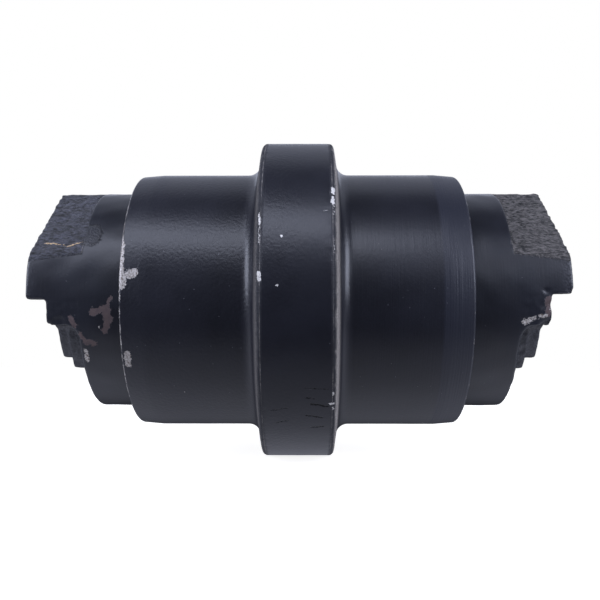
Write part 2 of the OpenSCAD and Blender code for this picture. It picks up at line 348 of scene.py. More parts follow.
def makeCollar(side):
    # the CAD casting remeshed into even quads, drawn onto the rounded field by Newton steps along its
    # slope, then roughened along the normal. The left end is the right end turned half round about Z
    s, look = collarSizes, collarEnds[side]
    source = nodes[side + "_collar"].data.copy()
    work = bpy.data.objects.new("work", source)
    scene.collection.objects.link(work)
    weld = work.modifiers.new("weld", "WELD")
    weld.merge_threshold = 1e-6
    remesh = work.modifiers.new("remesh", "REMESH")
    remesh.mode = "VOXEL"
    remesh.voxel_size = s["voxel"] * mm
    evaluated = work.evaluated_get(bpy.context.evaluated_depsgraph_get())
    mesh = bpy.data.meshes.new_from_object(evaluated)
    bpy.data.objects.remove(work)
    bpy.data.meshes.remove(source)
    p = np.empty(len(mesh.vertices) * 3, dtype=np.float32)
    mesh.vertices.foreach_get("co", p)
    turned = np.array([look["sign"], look["sign"], 1.0]) / mm
    p = p.reshape(-1, 3).astype(float) * turned
    for _ in range(7):
        slope = fieldSlope(p, look)
        length2 = np.maximum((slope ** 2).sum(1), 0.25)
        move = (collarField(p, look) / length2)[:, None] * slope
        p = p - np.clip(move, -0.8, 0.8)
    slope = fieldSlope(p, look, 0.15)
    normal = slope / np.maximum(np.linalg.norm(slope, axis=1), 1e-6)[:, None]
    outside = (p[:, 1] > 73.5) & (np.hypot(p[:, 0], p[:, 2]) > 26.5)
    p = p + normal * (castSurface(p, look) * outside)[:, None]
    p[:, 1] = np.minimum(p[:, 1], look["end"])
    mesh.vertices.foreach_set("co", (p / turned).reshape(-1).astype(np.float32))
    mesh.polygons.foreach_set("use_smooth", np.ones(len(mesh.polygons), dtype=bool))
    mesh.update()
    mesh.name = side + "Collar"
    obj = bpy.data.objects.new(side + "Collar", mesh)
    scene.collection.objects.link(obj)
    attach(obj, "fixed")
    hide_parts(side + "_collar")
    print(side, "collar", len(mesh.polygons))
    return obj


leftCollar = makeCollar("left")
rightCollar = makeCollar("right")


# finishes: helpers that more than one material uses. Object coordinates are in metres, so a pattern
# with lumps, lines or cells w mm wide has a scale of 1000 / w

def onBarrel(axial, degrees, radius):
    # a place on a cylinder about the Y axis, the angle measured upwards from +X, in metres
    t = math.radians(degrees)
    return Vector((radius * math.cos(t), axial, radius * math.sin(t))) * mm


def strokeField(tree, where, strokes, radius):
    # each stroke runs between two places on the barrel, which may name a radius of their own: the
    # distance to its line divided by its half width, least of all the strokes, so below 1 inside one
    nearest = None
    for start, end, halfWidth in strokes:
        a, b = onBarrel(*(start + (radius,))[:3]), onBarrel(*(end + (radius,))[:3])
        reach = b - a
        fromStart = addNode(tree, "VectorMath", (where, a), operation="SUBTRACT")
        along = addNode(tree, "VectorMath", (fromStart, reach / reach.length_squared),
                        out=1, operation="DOT_PRODUCT")
        part = addNode(tree, "Clamp", (along,))
        foot = addNode(tree, "VectorMath", {0: reach, "Scale": part}, operation="SCALE")
        gap = addNode(tree, "VectorMath", (fromStart, foot), out=1, operation="DISTANCE")
        share = addNode(tree, "Math", (gap, halfWidth * mm), operation="DIVIDE")
        nearest = share if nearest is None else addNode(tree, "Math", (nearest, share),
                                                        operation="MINIMUM")
    return nearest


def weighted(tree, *parts):
    # sum of (value, weight) pairs
    total = None
    for value, weight in parts:
        term = addNode(tree, "Math", (value, weight), operation="MULTIPLY")
        total = term if total is None else addNode(tree, "Math", (total, term), operation="ADD")
    return total


def barrelPlace(tree):
    # object coordinates, with the station along the shaft, its size, and the radius, in metres
    where = addNode(tree, "TexCoord", out="Object")
    parts = addNode(tree, "SeparateXYZ", (where,)).node.outputs
    station = addNode(tree, "Math", (parts["Y"],), operation="ABSOLUTE")
    xx = addNode(tree, "Math", (parts["X"], parts["X"]), operation="MULTIPLY")
    radius2 = addNode(tree, "Math", (parts["Z"], parts["Z"], xx), operation="MULTIPLY_ADD")
    radius = addNode(tree, "Math", (radius2, 0.5), operation="POWER")
    return where, parts, station, radius


def shifted(tree, where, size, reach):
    # places moved about by noise, so that anything measured from them gets a ragged outline
    wander = addNode(tree, "TexNoise", {"Vector": where, "Scale": 1000.0 / size, "Detail": 5.0,
                                        "Roughness": 0.7}, out=1)
    centred = addNode(tree, "VectorMath", (wander, (0.5, 0.5, 0.5)), operation="SUBTRACT")
    return addNode(tree, "VectorMath", (centred, (reach * 2 * mm,) * 3, where), operation="MULTIPLY_ADD")


def specks(tree, where, spacing, share, size):
    # small round marks: one possible mark in each cell, and only a share of the cells has one
    cells = addNode(tree, "TexVoronoi", {"Vector": where, "Scale": 1000.0 / spacing}).node.outputs
    kept = addNode(tree, "SeparateColor", (cells["Color"],))
    chosen = addNode(tree, "Math", (kept, share), operation="LESS_THAN")
    near = addNode(tree, "MapRange", (cells["Distance"], size / spacing, 0.6 * size / spacing))
    return addNode(tree, "Math", (chosen, near), operation="MULTIPLY")


# the shell's paint: semi-gloss blue-black enamel sprayed over turned and forged steel. The eye sees
# soft streaks of light broken by orange peel on the left, fine turning lines on the right, a dusty
# rough forging skin on the flange's sides, and bright steel where the corners were knocked

shellPaintLook = {
    # the right end band is really turned and rougher; its lighter colour is painted light for how that
    # tapered end catches the light
    "enamel": "#17181f", "paleEnamel": "#1b1c24", "bandPaintedLight": "#20222c", "dust": "#a59e97",
    "fleck": "#7c7c82", "crack": "#050507", "steel": "#b3aeaa", "darkSteel": "#5c5249",
    "chip": "#dbd8d4",
    # mm
    "peelGrain": 1.4, "peelHeight": 0.100, "lineSpacing": 0.9, "lineHeight": 0.055, "skinGrain": 0.7,
    "cloud": 16.0, "wearGrain": 3.5, "endWear": (135.38, 135.5), "wornLine": 14.82,
    # roughness, and shares
    "gloss": 0.34, "leftLines": 0.25, "bandLines": 1.1, "rightPeel": 0.35, "leftDust": 0.28,
    "endShare": (0.75, 0.62), "fleckShare": 0.75, "bareMetal": 0.35,
    # how many half widths from a stroke's line a mark begins, and where it is full
    "chipEdge": (1.08, 0.92), "crackEdge": (1.35, 0.7),
    # strokes: station in mm and degrees up from the front at each end, then half the width in mm.
    # The tread's lie at this radius, and the others on the rim
    "treadChipR": 60.6,
    "treadChips": [
        ((-70.5, 10.2), (-68.6, 10.9), 2.0), ((-73.2, 9.4), (-73.0, 6.2), 1.1),
        ((-74.3, 24.5), (-74.2, 12.5), 0.8), ((-74.8, 27.5), (-74.7, 21.0), 0.35),
        ((-74.1, 12.5), (-73.9, 5.0), 1.2), ((-74.8, 6.5), (-74.8, -1.0), 0.4),
        ((-72.3, -22.3), (-72.5, -27.2), 1.4), ((33.8, 22.0), (34.7, 24.8), 0.35),
        ((35.9, 20.0), (36.2, 19.8), 0.4)],
    "rimChips": [
        ((-15.6, 83.0), (-13.2, 84.0), 0.6), ((15.3, 31.0), (15.2, 14.0), 0.16),
        ((-15.4, 27.6), (-15.3, 23.8), 0.45), ((-15.4, 23.8), (-15.3, 17.0), 0.2),
        ((-15.1, 8.1), (-15.0, 6.0), 0.8),
        ((15.2, 37.4), (15.3, 36.0), 0.9), ((15.2, 33.8), (15.0, 31.4), 0.7),
        ((14.8, -30.6), (15.1, -30.9), 0.5), ((13.7, -34.8), (15.3, -34.7), 0.5),
        ((15.1, -36.5), (15.2, -37.0), 0.4), ((-6.4, 19.9), (-6.1, 19.7), 0.55),
        ((-7.9, 4.3), (-7.7, 4.1), 0.35), ((10.8, 28.4), (12.6, 28.7), 0.15)],
    "cracks": [
        ((3.1, -28.5), (13.3, -28.9), 0.22), ((5.7, -34.9), (13.0, -35.7), 0.42),
        ((2.8, -32.3), (7.3, -32.5), 0.25), ((4.0, -39.9), (11.0, -40.9), 0.38),
        ((6.1, -46.1), (11.1, -45.4), 0.42), ((-10.7, -37.6), (-3.7, -36.5), 0.26),
        ((-8.8, -43.4), (-3.9, -42.4), 0.26)],
}


# where each part of the shell's finish sets in, as a station, radius or distance in metres: it has no
# effect at the first number and its full effect at the second
shellZones = {
    "rightHalf": (-0.004, 0.012), "rightSide": (-0.002, 0.002), "tread": (0.0645, 0.0625),
    "endBand": (0.0612, 0.0624), "offRim": (0.0136, 0.0152), "offTread": (0.0640, 0.0660),
    "endFace": (0.0725, 0.0730), "endCorner": (0.0583, 0.0588), "rimLine": (0.00026, 0.00014),
    "rimTop": (0.0740, 0.0745), "upFlange": (0.0650, 0.0700), "underRim": (0.0759, 0.0750),
}


def shellPaintMaterial():
    s, look, zones = shellSizes, shellPaintLook, shellZones
    material, tree = newMaterial("semiGlossEnamelOnSteel")
    where, parts, station, radius = barrelPlace(tree)
    ragged = shifted(tree, where, 1.5, 1.7)
    # orange peel is isotropic; turning lines run round the barrel, so they vary almost only along it
    peel = addNode(tree, "TexNoise", {"Vector": where, "Scale": 1000.0 / look["peelGrain"],
                                      "Detail": 1.5})
    lineSpace = addNode(tree, "VectorMath", (where, (0.02, 1.0, 0.02)), operation="MULTIPLY")
    lines = addNode(tree, "TexNoise", {"Vector": lineSpace, "Scale": 1000.0 / look["lineSpacing"],
                                       "Detail": 2.0, "Roughness": 0.6})
    # forging skin on the flange's sides, broad clouds, and the noise that breaks up the worn edges
    skin = addNode(tree, "TexNoise", {"Vector": where, "Scale": 1000.0 / look["skinGrain"],
                                      "Detail": 4.0, "Roughness": 0.65})
    broad = addNode(tree, "TexNoise", {"Vector": where, "Scale": 1000.0 / look["cloud"], "Detail": 3.0})
    wearNoise = addNode(tree, "TexNoise", {"Vector": where, "Scale": 1000.0 / look["wearGrain"],
                                           "Detail": 4.0, "Roughness": 0.7})
    # the zones
    right = addNode(tree, "MapRange", (parts["Y"], *zones["rightHalf"]))
    tread, offTread, endCorner, rimTop, underRim = [
        addNode(tree, "MapRange", (radius, *zones[name]))
        for name in ("tread", "offTread", "endCorner", "rimTop", "underRim")]
    endBand, offRim, endFace = [addNode(tree, "MapRange", (station, *zones[name]))
                                for name in ("endBand", "offRim", "endFace")]
    rightBand = addNode(tree, "Math", (endBand, right), operation="MULTIPLY")
    side = addNode(tree, "Math", (offRim, offTread), operation="MULTIPLY")
    lineShare = addNode(tree, "Math", (right, look["leftLines"]), operation="MAXIMUM")
    lineShare = addNode(tree, "Math", (tread, lineShare), operation="MULTIPLY")
    lineShare = addNode(tree, "Math", (rightBand, look["bandLines"], lineShare),
                        operation="MULTIPLY_ADD")
    # knocks that went through to the steel
    chip = strokeField(tree, ragged, look["treadChips"], look["treadChipR"])
    chip = addNode(tree, "MapRange", (chip, *look["chipEdge"]))
    rimChip = strokeField(tree, ragged, look["rimChips"], s["rim"])
    rimChip = addNode(tree, "MapRange", (rimChip, *look["chipEdge"]))
    # the end corner's arc has its middle where station + radius is 135.0 mm; the right one is cleaner
    reach = addNode(tree, "Math", (station, radius), operation="ADD")
    endReach = weighted(tree, (reach, 1.0 / mm), (wearNoise, 0.9), (right, -0.14))
    endWear = addNode(tree, "MapRange", (endReach, *look["endWear"]))
    endShare = addNode(tree, "MapRange", (right, 0.0, 1.0, *look["endShare"]))
    for part in (endFace, endCorner, endShare):
        endWear = addNode(tree, "Math", (endWear, part), operation="MULTIPLY")
    # a thin worn line where the rim turns into its corner
    fromLine = addNode(tree, "Math", (station, look["wornLine"] * mm), operation="SUBTRACT")
    fromLine = addNode(tree, "Math", (fromLine,), operation="ABSOLUTE")
    rimWear = addNode(tree, "MapRange", (fromLine, *zones["rimLine"]))
    fineBreaks = addNode(tree, "MapRange", (wearNoise, 0.30, 0.62, 0.0, 0.45))
    broadBreaks = addNode(tree, "MapRange", (broad, 0.42, 0.56, 0.1, 1.0))
    for part in (rimTop, fineBreaks, broadBreaks):
        rimWear = addNode(tree, "Math", (rimWear, part), operation="MULTIPLY")
    bare = endWear
    for part in (rimWear, chip, rimChip, specks(tree, where, spacing=9.0, share=0.10, size=0.28)):
        bare = addNode(tree, "Math", (bare, part), operation="MAXIMUM")
    crack = strokeField(tree, shifted(tree, where, 2.6, 1.2), look["cracks"], s["rim"])
    crack = addNode(tree, "MapRange", (crack, *look["crackEdge"]))
    # dust lies in the forging skin, and more of it on the right
    dusty = addNode(tree, "MapRange", (skin, 0.34, 0.60, 0.35, 1.0))
    upFlange = addNode(tree, "MapRange", (radius, *zones["upFlange"], 0.2, 1.0))
    leftLess = addNode(tree, "MapRange", (parts["Y"], *zones["rightSide"], look["leftDust"], 1.0))
    for part in (side, upFlange, underRim, leftLess):
        dusty = addNode(tree, "Math", (dusty, part), operation="MULTIPLY")
    # colour: enamel, the right end band lightened with painted light, dust, flecks, cracks and bare
    # steel, each laid over the last
    cloudShare = addNode(tree, "MapRange", (broad, 0.3, 0.7))
    flecks = specks(tree, where, spacing=3.2, share=0.30, size=0.17)
    flecks = addNode(tree, "Math", (flecks, look["fleckShare"]), operation="MULTIPLY")
    steelNoise = addNode(tree, "TexNoise", {"Vector": where, "Scale": 1000.0 / look["skinGrain"],
                                            "Detail": 4.0, "Roughness": 0.7})
    steelShare = addNode(tree, "MapRange", (steelNoise, 0.36, 0.56))
    steel = addNode(tree, "Mix", {0: steelShare, 6: srgb(look["darkSteel"]), 7: srgb(look["steel"])},
                    out=2, data_type="RGBA")
    colour = srgb(look["enamel"])
    for share, over in ((cloudShare, srgb(look["paleEnamel"])), (rightBand, srgb(look["bandPaintedLight"])),
                        (dusty, srgb(look["dust"])), (flecks, srgb(look["fleck"])),
                        (crack, srgb(look["crack"])), (bare, steel), (rimChip, srgb(look["chip"]))):
        colour = addNode(tree, "Mix", {0: share, 6: colour, 7: over}, out=2, data_type="RGBA")
    gloss = weighted(tree, (broad, 0.08), (side, 0.30), (rightBand, 0.07), (bare, 0.12), (peel, 0.05))
    gloss = addNode(tree, "Math", (gloss, look["gloss"] - 0.06), operation="ADD")
    metal = addNode(tree, "Math", (bare, look["bareMetal"]), operation="MULTIPLY")
    peelShare = addNode(tree, "Math", (1.0, right), operation="SUBTRACT")
    peelShare = addNode(tree, "Math", (peelShare, look["rightPeel"]), operation="MAXIMUM")
    peelTerm = addNode(tree, "Math", (peel, peelShare), operation="MULTIPLY")
    lineTerm = addNode(tree, "Math", (lines, lineShare), operation="MULTIPLY")
    skinTerm = addNode(tree, "Math", (skin, side), operation="MULTIPLY")
    # heights in mm
    height = weighted(tree, (peelTerm, look["peelHeight"]), (lineTerm, look["lineHeight"]),
                      (skinTerm, 0.45), (bare, -0.06), (crack, -0.10))
    bump = addNode(tree, "Bump", {"Height": height, "Strength": 1.0, "Distance": mm})
    sheen = addNode(tree, "MapRange", (crack, 0.0, 1.0, 0.5, 0.2))
    shader = addNode(tree, "BsdfPrincipled", {
        "Base Color": colour, "Metallic": metal, "Roughness": gloss, "Normal": bump, "IOR": 1.5,
        "Specular IOR Level": sheen})
    addNode(tree, "OutputMaterial", {"Surface": shader})
    return material


# the collars' paint: the same enamel over cast iron. The eye sees faint turning lines on the disc,
# sandy as-cast grain elsewhere, bark-like sloping pads with painted shade in their hollows and painted
# light on their ridges, and pinkish primer where the paint came off

collarPaintLook = {
    "left": {
        # the pad's dark colour is painted shade in the bark's hollows; its light colour is the cast
        # skin's dusty tone with painted light on the ridges
        "pad": "#060608", "padDustAndRidgeLight": "#4c4d57", "padGrain": 0.75, "padHeight": 1.15, "padGloss": 0.40,
        "primer": [
            ((-80.6, 1.0), (-81.9, -2.8), 0.9), ((-82.8, -4.4), (-88.2, -6.0), 1.4),
            ((-88.4, -4.9), (-88.8, -7.0), 1.0), ((-82.8, -4.2), (-81.7, -10.0), 1.8),
            ((-81.7, -10.0), (-83.6, -15.2), 1.3), ((-98.1, -8.6), (-96.5, -12.4), 1.0),
            ((-94.6, -16.6), (-92.4, -20.3), 0.9), ((-92.2, -20.5), (-88.7, -21.4), 1.3)],
        "steel": [((-92.7, -25.5), (-92.7, -30.6), 1.0), ((-85.6, -12.9), (-85.5, -13.4), 0.4)],
        "padScratch": [((-113.0, 31.7, 48.2), (-104.5, 29.9, 49.7), 0.45),
                       ((-104.5, 29.9, 49.7), (-101.5, 27.9, 50.8), 0.45),
                       ((-101.5, 27.9, 50.8), (-95.6, 30.3, 50.2), 0.5)],
        "smear": [((-92.4, 33.6), (-92.0, 33.6), 6.2)],
    },
    "right": {
        # the pad's dark colour is painted shade in the bark's hollows; its light colour is the cast
        # skin's dusty tone with painted light on the ridges
        "pad": "#0a090a", "padDustAndRidgeLight": "#64605e", "padGrain": 0.75, "padHeight": 1.00, "padGloss": 0.50,
        "primer": [((108.0, 0.4), (108.2, -5.8), 1.5), ((106.6, -8.0), (108.2, -7.6), 0.7)],
        "steel": [((97.8, -10.6), (101.8, -9.2), 1.1), ((104.6, -8.0), (107.0, -7.6), 1.0),
                  ((108.9, -1.0), (108.9, -5.0), 0.4)],
        "padScratch": [], "smear": [],
    },
    "enamel": "#17181f", "paleEnamel": "#1b1d25", "skin": "#45464d", "fleck": "#7c7c82",
    "primer": "#5b4c49", "darkPrimer": "#41363a", "steel": "#c4bfba", "darkSteel": "#5a5048",
    "scratch": "#d9b98c", "smearRim": "#08080b",
    # mm
    "sandGrain": 0.9, "padLump": 3.6, "lineSpacing": 1.0, "cloud": 14.0, "wearGrain": 2.5,
    "patch": 5.0, "primerGrain": 1.5, "steelGrain": 0.8, "peelGrain": 1.5, "smearGrain": 0.8,
    "scratchR": 49.0,
    "gloss": 0.36, "padEdgeHighlight": 0.28, "fleckShare": 0.75, "bareMetal": 0.35,
    "primerEdge": (1.1, 0.95), "steelEdge": (1.1, 0.9),
}


# the same for the collars; "pad" is how far a point lies from the pad's plane, in mm
collarZones = {
    "pad": (2.7, 1.9), "padStart": (0.0938, 0.0944), "padEdgeIn": (0.0938, 0.0940),
    "padEdgeOut": (0.0947, 0.0945), "discRim": (0.0512, 0.0517), "discEnd": (0.1190, 0.1120),
}


def collarPaintMaterial(side):
    s, zones, shared, look = collarSizes, collarZones, collarPaintLook, collarPaintLook[side]
    material, tree = newMaterial(side + "EnamelOnCastIron")
    where, parts, station, radius = barrelPlace(tree)
    sand = addNode(tree, "TexNoise", {"Vector": where, "Scale": 1000.0 / shared["sandGrain"],
                                      "Detail": 3.0, "Roughness": 0.6})
    # the pads are the planes |x| cos + z sin = reach, reach falling evenly from padIn to padOut
    angle = math.radians(s["padAngle"])
    fall = (s["padIn"] - s["padOut"]) / (s["end"] - s["padStart"])
    across = addNode(tree, "Math", (parts["X"],), operation="ABSOLUTE")
    plane = weighted(tree, (across, math.cos(angle) / mm), (parts["Z"], math.sin(angle) / mm),
                     (station, fall / mm))
    away = addNode(tree, "Math", (plane, s["padIn"] + fall * s["padStart"]), operation="SUBTRACT")
    away = addNode(tree, "Math", (away,), operation="ABSOLUTE")
    away = weighted(tree, (away, 1.0), (sand, 1.6))
    pad = addNode(tree, "MapRange", (away, *zones["pad"]))
    padStart = addNode(tree, "MapRange", (station, *zones["padStart"]))
    pad = addNode(tree, "Math", (pad, padStart), operation="MULTIPLY")
    padEdge = addNode(tree, "MapRange", (station, *zones["padEdgeIn"]))
    padEdgeOut = addNode(tree, "MapRange", (station, *zones["padEdgeOut"]))
    for part in (padEdgeOut, pad):
        padEdge = addNode(tree, "Math", (padEdge, part), operation="MULTIPLY")
    discRim = addNode(tree, "MapRange", (radius, *zones["discRim"]))
    discEnd = addNode(tree, "MapRange", (station, *zones["discEnd"]))
    disc = addNode(tree, "Math", (discRim, discEnd), operation="MULTIPLY")
    # grain drawn out along the shaft, as the mould's parting wash leaves it
    drawn = addNode(tree, "VectorMath", (where, (1.0, 0.36, 1.0)), operation="MULTIPLY")
    bark = addNode(tree, "TexNoise", {"Vector": drawn, "Scale": 1000.0 / look["padGrain"],
                                      "Detail": 5.0, "Roughness": 0.62})
    lumps = addNode(tree, "TexNoise", {"Vector": drawn, "Scale": 1000.0 / shared["padLump"],
                                       "Detail": 3.0, "Roughness": 0.55})
    lineSpace = addNode(tree, "VectorMath", (where, (0.02, 1.0, 0.02)), operation="MULTIPLY")
    lines = addNode(tree, "TexNoise", {"Vector": lineSpace, "Scale": 1000.0 / shared["lineSpacing"],
                                       "Detail": 3.0, "Roughness": 0.65})
    broad, patchy, wearNoise, primerNoise = [
        addNode(tree, "TexNoise", {"Vector": where, "Scale": 1000.0 / shared[name], "Detail": 3.0})
        for name in ("cloud", "patch", "wearGrain", "primerGrain")]
    ragged = shifted(tree, where, 1.6, 2.1)
    primer = strokeField(tree, ragged, look["primer"], s["discR"])
    primer = addNode(tree, "MapRange", (primer, *shared["primerEdge"]))
    steel = strokeField(tree, ragged, look["steel"], s["discR"])
    steel = addNode(tree, "MapRange", (steel, *shared["steelEdge"]))
    # a painted highlight: a thin bright line along the pad's inner edge, drawn as bare steel; and a few
    # specks of bare steel
    padEdgeHighlight = addNode(tree, "MapRange", (wearNoise, 0.34, 0.6))
    padEdgeHighlight = addNode(tree, "Math", (padEdge, padEdgeHighlight), operation="MULTIPLY")
    padEdgeHighlight = addNode(tree, "Math", (padEdgeHighlight, shared["padEdgeHighlight"]), operation="MULTIPLY")
    for part in (specks(tree, where, spacing=8.0, share=0.10, size=0.28), padEdgeHighlight):
        steel = addNode(tree, "Math", (steel, part), operation="MAXIMUM")
    # dull sandy skin wherever the casting was left as it came: hub, ring and end faces
    rest = addNode(tree, "Math", (1.0, disc), operation="SUBTRACT")
    skinShare = addNode(tree, "MapRange", (sand, 0.42, 0.62, 0.0, 0.75))
    patches = addNode(tree, "MapRange", (patchy, 0.38, 0.62, 0.25, 1.0))
    for part in (rest, patches):
        skinShare = addNode(tree, "Math", (skinShare, part), operation="MULTIPLY")
    # colour: enamel, skin, pads with their painted shade and light, primer, steel with the painted edge
    # highlight, and flecks, each laid over the last
    cloudShare = addNode(tree, "MapRange", (broad, 0.3, 0.7))
    # painted shade and light: the pads' colour follows the bark that also raises their bump, near black
    # in the hollows and pale on the ridges
    padRidgeShare = addNode(tree, "MapRange", (weighted(tree, (bark, 0.75), (lumps, 0.25)), 0.43, 0.58))
    steelNoise = addNode(tree, "TexNoise", {"Vector": where, "Scale": 1000.0 / shared["steelGrain"],
                                            "Detail": 4.0, "Roughness": 0.7})
    steelShare = addNode(tree, "MapRange", (steelNoise, 0.36, 0.58))
    flecks = specks(tree, where, spacing=3.0, share=0.22, size=0.17)
    flecks = addNode(tree, "Math", (flecks, shared["fleckShare"]), operation="MULTIPLY")
    padShadedColour, primerColour, steelColour = [
        addNode(tree, "Mix", {0: share, 6: srgb(dark), 7: srgb(light)}, out=2, data_type="RGBA")
        for share, dark, light in ((padRidgeShare, look["pad"], look["padDustAndRidgeLight"]),
                                   (primerNoise, shared["darkPrimer"], shared["primer"]),
                                   (steelShare, shared["darkSteel"], shared["steel"]))]
    colour = srgb(shared["enamel"])
    for share, over in ((cloudShare, srgb(shared["paleEnamel"])), (skinShare, srgb(shared["skin"])),
                        (pad, padShadedColour), (primer, primerColour), (steel, steelColour),
                        (flecks, srgb(shared["fleck"]))):
        colour = addNode(tree, "Mix", {0: share, 6: colour, 7: over}, out=2, data_type="RGBA")
    gloss = weighted(tree, (broad, 0.08), (pad, look["padGloss"] - shared["gloss"]), (primer, 0.3),
                     (steel, 0.1))
    gloss = addNode(tree, "Math", (gloss, shared["gloss"] - 0.04), operation="ADD")
    metal = addNode(tree, "Math", (steel, shared["bareMetal"]), operation="MULTIPLY")
    padTerm = addNode(tree, "Math", (bark, pad), operation="MULTIPLY")
    lineTerm = addNode(tree, "Math", (lines, disc), operation="MULTIPLY")
    sandTerm = addNode(tree, "Math", (sand, rest), operation="MULTIPLY")
    peel = addNode(tree, "TexNoise", {"Vector": where, "Scale": 1000.0 / shared["peelGrain"],
                                      "Detail": 1.5})
    # heights in mm
    heights = [(padTerm, look["padHeight"]), (lineTerm, 0.045), (sandTerm, 0.17), (peel, 0.03),
               (primer, -0.06), (steel, -0.05)]
    if look["padScratch"]:
        # a torn bright line across the pad
        scratch = strokeField(tree, shifted(tree, where, 1.2, 1.0), look["padScratch"],
                              shared["scratchR"])
        scratch = addNode(tree, "MapRange", (scratch, *shared["steelEdge"]))
        breaks = addNode(tree, "TexNoise", {"Vector": where, "Scale": 1000.0 / shared["sandGrain"],
                                            "Detail": 2.0})
        breaks = addNode(tree, "MapRange", (breaks, 0.42, 0.5))
        scratch = addNode(tree, "Math", (scratch, breaks), operation="MULTIPLY")
        colour = addNode(tree, "Mix", {0: scratch, 6: colour, 7: srgb(shared["scratch"])}, out=2,
                         data_type="RGBA")
    if look["smear"]:
        # an old spatter of paint: a rough round patch, darker towards its raised rim
        smear = strokeField(tree, shifted(tree, where, 5.0, 3.4), look["smear"], s["discR"])
        rimInside = addNode(tree, "MapRange", (smear, 0.6, 0.85))
        rimOutside = addNode(tree, "MapRange", (smear, 1.05, 0.9))
        smearRim = addNode(tree, "Math", (rimInside, rimOutside), operation="MULTIPLY")
        smearGrain = addNode(tree, "TexNoise", {"Vector": where, "Detail": 3.0, "Roughness": 0.6,
                                                "Scale": 1000.0 / shared["smearGrain"]})
        darkSpots = addNode(tree, "MapRange", (smearGrain, 0.42, 0.62))
        rimDark = addNode(tree, "Math", (smearRim, darkSpots), operation="MULTIPLY")
        colour = addNode(tree, "Mix", {0: rimDark, 6: colour, 7: srgb(shared["smearRim"])}, out=2,
                         data_type="RGBA")
        smearShare = addNode(tree, "MapRange", (smear, 1.0, 0.8))
        smearTerm = addNode(tree, "Math", (smearShare, smearGrain), operation="MULTIPLY")
        heights += [(smearTerm, 0.40), (smearRim, 0.06)]
    height = weighted(tree, *heights)
    bump = addNode(tree, "Bump", {"Height": height, "Strength": 1.0, "Distance": mm})
    shader = addNode(tree, "BsdfPrincipled", {
        "Base Color": colour, "Metallic": metal, "Roughness": gloss, "Normal": bump, "IOR": 1.5})
    addNode(tree, "OutputMaterial", {"Surface": shader})
    return material


# metals and rubber inside the roller

innerLook = {
    # ground shaft: fine bright lines round it, a thin oil film
    "groundSteel": {"light": "#b4b5b8", "dark": "#96979c", "metallic": 1.0, "roughness": 0.24,
                    "spread": 0.12, "lines": 0.35, "height": 0.004},
    # sintered bronze: warm and slightly grainy, with turning lines
    "turnedBronze": {"light": "#c59a5c", "dark": "#a1763d", "metallic": 1.0, "roughness": 0.34,
                     "spread": 0.14, "lines": 0.6, "height": 0.008},
    # lapped seal iron: dull silver grey
    "lappedIron": {"light": "#a6a8ac", "dark": "#85878c", "metallic": 1.0, "roughness": 0.30,
                   "spread": 0.12, "lines": 0.4, "height": 0.004},
    # nitrile rubber: matt black with a grey bloom
    "nitrileRubber": {"light": "#2b2b2c", "dark": "#161617", "metallic": 0.0, "roughness": 0.62,
                      "spread": 0.14, "lines": 1.2, "height": 0.010},
    # the pins: ground steel gone slightly brown
    "pinSteel": {"light": "#a39c94", "dark": "#7a726a", "metallic": 1.0, "roughness": 0.36,
                 "spread": 0.18, "lines": 0.5, "height": 0.006},
    # zinc plating with a pale yellow passivation
    "zincPlate": {"light": "#c9c3ab", "dark": "#a39d88", "metallic": 1.0, "roughness": 0.32,
                  "spread": 0.12, "lines": 0.7, "height": 0.006},
}


def turnedMaterial(name):
    # cloudy colour and roughness, and fine lines left round the axis by turning or grinding
    look = innerLook[name]
    material, tree = newMaterial(name)
    where = addNode(tree, "TexCoord", out="Object")
    cloud = addNode(tree, "TexNoise", {"Vector": where, "Scale": 1000.0 / 7.0, "Detail": 4.0,
                                       "Roughness": 0.6})
    lineSpace = addNode(tree, "VectorMath", (where, (0.04, 1.0, 0.04)), operation="MULTIPLY")
    lines = addNode(tree, "TexNoise", {"Vector": lineSpace, "Scale": 1000.0 / look["lines"],
                                       "Detail": 2.0, "Roughness": 0.6})
    grain = addNode(tree, "TexNoise", {"Vector": where, "Scale": 1000.0 / 0.4, "Detail": 2.0})
    lightShare = addNode(tree, "MapRange", (cloud, 0.35, 0.65))
    colour = addNode(tree, "Mix", {0: lightShare, 6: srgb(look["dark"]), 7: srgb(look["light"])},
                     out=2, data_type="RGBA")
    gloss = weighted(tree, (cloud, look["spread"]), (lines, look["spread"] * 0.5))
    gloss = addNode(tree, "Math", (gloss, look["roughness"] - look["spread"] * 0.75), operation="ADD")
    height = weighted(tree, (lines, look["height"]), (grain, look["height"] * 0.5))
    bump = addNode(tree, "Bump", {"Height": height, "Strength": 1.0, "Distance": mm})
    shader = addNode(tree, "BsdfPrincipled", {
        "Base Color": colour, "Metallic": look["metallic"], "Roughness": gloss, "Normal": bump})
    addNode(tree, "OutputMaterial", {"Surface": shader})
    return material


paint(shell, shellPaintMaterial())
paint(leftCollar, collarPaintMaterial("left"))
paint(rightCollar, collarPaintMaterial("right"))
paint(nodes["roller_shell"], shell.data.materials[0])
for end, piece in (("left", leftCollar), ("right", rightCollar)):
    paint(nodes[end + "_collar"], piece.data.materials[0])
finishes = {name: turnedMaterial(name) for name in innerLook}
for name, finish in (("shaft", "groundSteel"), ("oil_plug", "zincPlate"),
                     ("oil_plug_o_ring", "nitrileRubber")):
    paint(nodes[name], finishes[finish])
pairedFinishes = {
    "bushing": "turnedBronze", "thrust_washer": "turnedBronze", "collar_pin": "pinSteel",
    "rotating_seal_ring": "lappedIron", "fixed_seal_ring": "lappedIron",
    "rotating_toric_ring": "nitrileRubber", "fixed_toric_ring": "nitrileRubber",
    "shaft_o_ring": "nitrileRubber",
}
for end in ("left", "right"):
    for name, finish in pairedFinishes.items():
        paint(nodes[end + "_" + name], finishes[finish])
print("finishes done")


# the stage: pale paper that turns pure white away from the roller. Round it are a large key softbox in
# front and above, a dim one to its right, a panel before each end for the streaks in the flange's
# fillets, and wide dim ones behind and above

